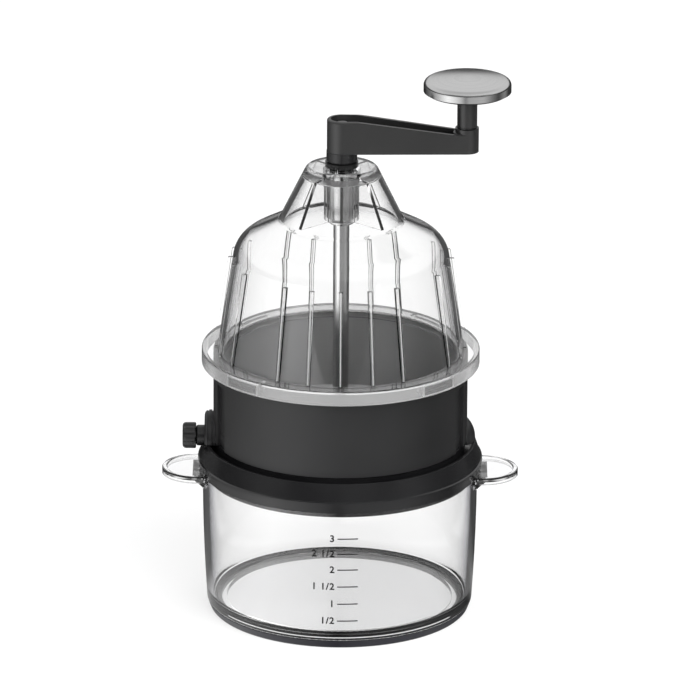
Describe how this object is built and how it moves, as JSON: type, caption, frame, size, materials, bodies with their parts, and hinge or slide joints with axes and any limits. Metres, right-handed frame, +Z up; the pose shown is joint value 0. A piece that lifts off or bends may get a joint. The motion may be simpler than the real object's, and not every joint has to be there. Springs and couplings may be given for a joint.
{
  "type": "hand-cranked spiralizer",
  "caption": "Hand-cranked vegetable spiralizer: clear ribbed dome with crank and round knob, black blade housing with a side selector, clear measuring container with tab handles.",
  "frame": {"origin": "on the table, under the middle of the container", "axes": "+Z up along the crank shaft, +X along the crank arm, -Y towards the front, where the cup marks are; the blade selector is on the -X side"},
  "size_m": [0.1794, 0.1432, 0.2785],
  "materials": {
    "container_clear": "clear, polished",
    "dome_clear": "clear, polished",
    "foot_rubber": "matt",
    "seal_rubber": "matt",
    "black_plastic": "satin",
    "black_knob": "satin",
    "black_arm": "satin",
    "grey_plastic": "satin",
    "shaft_steel": "ground",
    "blade_steel": "polished",
    "screw_steel": "bright",
    "cap_steel": "brushed in a circle"
  },
  "bodies": {
    "container": {"container": "container_clear", "foot_ring": "foot_rubber"},
    "housing": {"base_ring": "black_plastic", "rim_seal": "seal_rubber", "ring_screws": "screw_steel", "housing": "black_plastic", "blade_plate": "black_plastic", "straight_blade": "blade_steel", "blade_screws": "screw_steel", "coring_tube": "blade_steel", "selector_bush": "grey_plastic"},
    "selector": {"selector_rod": "shaft_steel", "comb_medium": "blade_steel", "comb_fine": "blade_steel", "selector_knob": "black_knob"},
    "dome": {"dome": "dome_clear"},
    "bush": {"guide_bush": "grey_plastic", "bush_clip": "screw_steel"},
    "crank": {"shaft": "shaft_steel", "collar": "black_knob", "crank_arm": "black_arm", "arm_screw": "screw_steel", "food_holder": "black_plastic", "holder_pin": "screw_steel", "knob_pin": "screw_steel"},
    "knob": {"knob_body": "black_knob", "knob_cap": "cap_steel", "pin_washer": "grey_plastic"}
  },
  "joints": [
    {"name": "housing_lift", "type": "slide", "parent": "container", "child": "housing", "axis": [0, 0, 1], "range_m": [0, 0.06]},
    {"name": "selector_turn", "type": "hinge", "parent": "housing", "child": "selector", "pos_m": [-0.06, 0, 0.0892], "axis": [1, 0, 0], "range_deg": [-120, 120]},
    {"name": "dome_twist", "type": "hinge", "parent": "housing", "child": "dome", "pos_m": [0, 0, 0.137], "axis": [0, 0, 1], "range_deg": [0, 24]},
    {"name": "crank_turn", "type": "hinge", "parent": "dome", "child": "bush", "pos_m": [0, 0, 0.2323], "axis": [0, 0, 1], "continuous": true},
    {"name": "crank_lift", "type": "slide", "parent": "bush", "child": "crank", "axis": [0, 0, 1], "range_m": [0, 0.09]},
    {"name": "knob_spin", "type": "hinge", "parent": "crank", "child": "knob", "pos_m": [0.0623, 0, 0.26], "axis": [0, 0, 1], "continuous": true}
  ]
}
